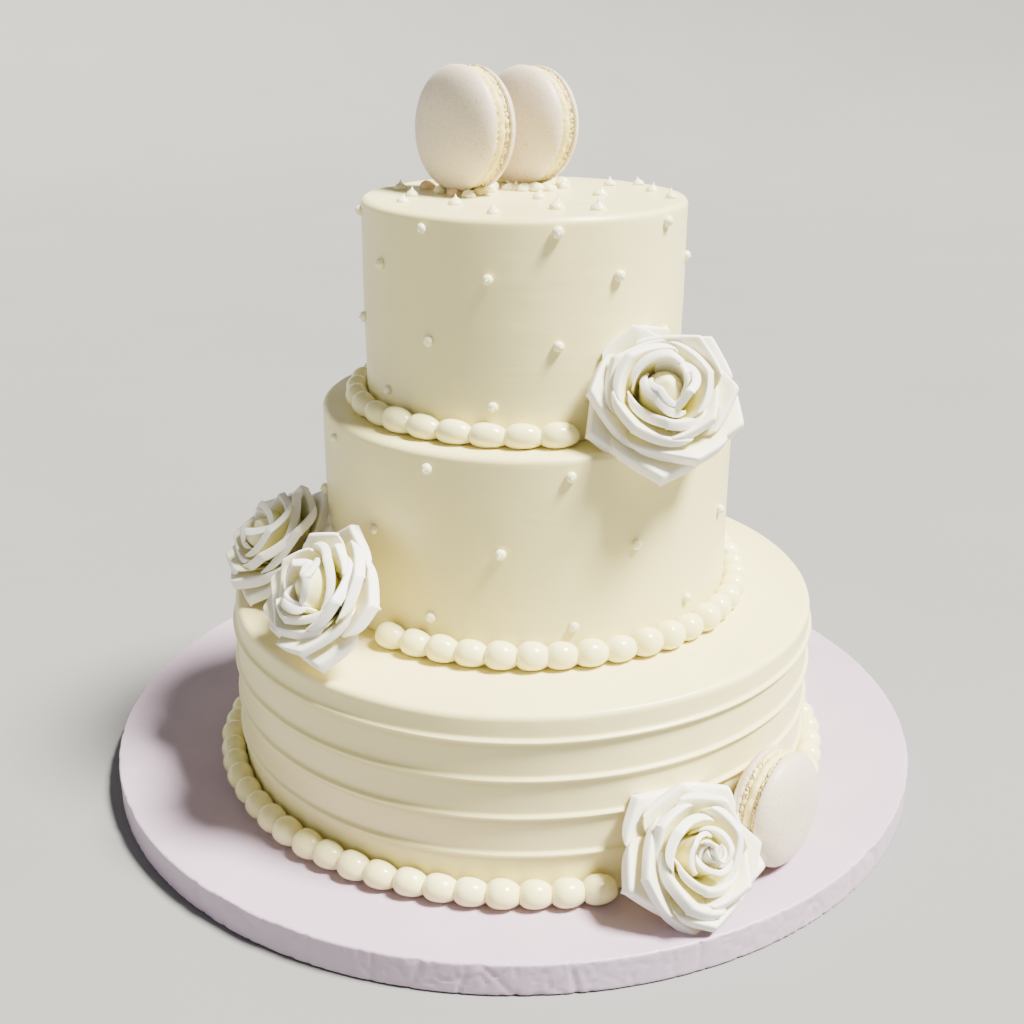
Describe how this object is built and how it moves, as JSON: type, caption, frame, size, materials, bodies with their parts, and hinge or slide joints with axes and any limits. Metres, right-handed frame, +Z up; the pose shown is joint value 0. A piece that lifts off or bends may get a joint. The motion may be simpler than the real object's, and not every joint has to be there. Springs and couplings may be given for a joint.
{
  "type": "tiered cake",
  "caption": "Round three-tier iced cake on a cake board, with piped bead borders, sugar roses, piped dots and macarons.",
  "frame": {"origin": "centre of the cake board's underside", "axes": "+Z up, the cake's front looks along -Y, +X to the right seen from the front"},
  "size_m": [0.3556, 0.3556, 0.298],
  "materials": {
    "icing": "smooth satin ivory icing",
    "beads": "piped ivory icing with a soft gloss",
    "rose": "matt white sugar paste, creamy in its folds",
    "macaron_shell": "pale speckled almond shell with a faint sheen",
    "macaron_filling": "cream filling",
    "board": "pale lilac-grey embossed wrap paper"
  },
  "bodies": {
    "root": {"board": "board", "bottom_tier": "icing", "middle_tier": "icing", "top_tier": "icing", "border_bottom": "beads", "border_middle": "beads", "border_top": "beads", "rose_upper": "rose", "rose_left_back": "rose", "rose_left_front": "rose", "rose_lower": "rose", "macaron_front_filling": "macaron_filling", "macaron_front_shell_front": "macaron_shell", "macaron_front_shell_back": "macaron_shell", "macaron_behind_filling": "macaron_filling", "macaron_behind_shell_front": "macaron_shell", "macaron_behind_shell_back": "macaron_shell", "macaron_lower_filling": "macaron_filling", "macaron_lower_shell_front": "macaron_shell", "macaron_lower_shell_back": "macaron_shell"}
  },
  "joints": []
}
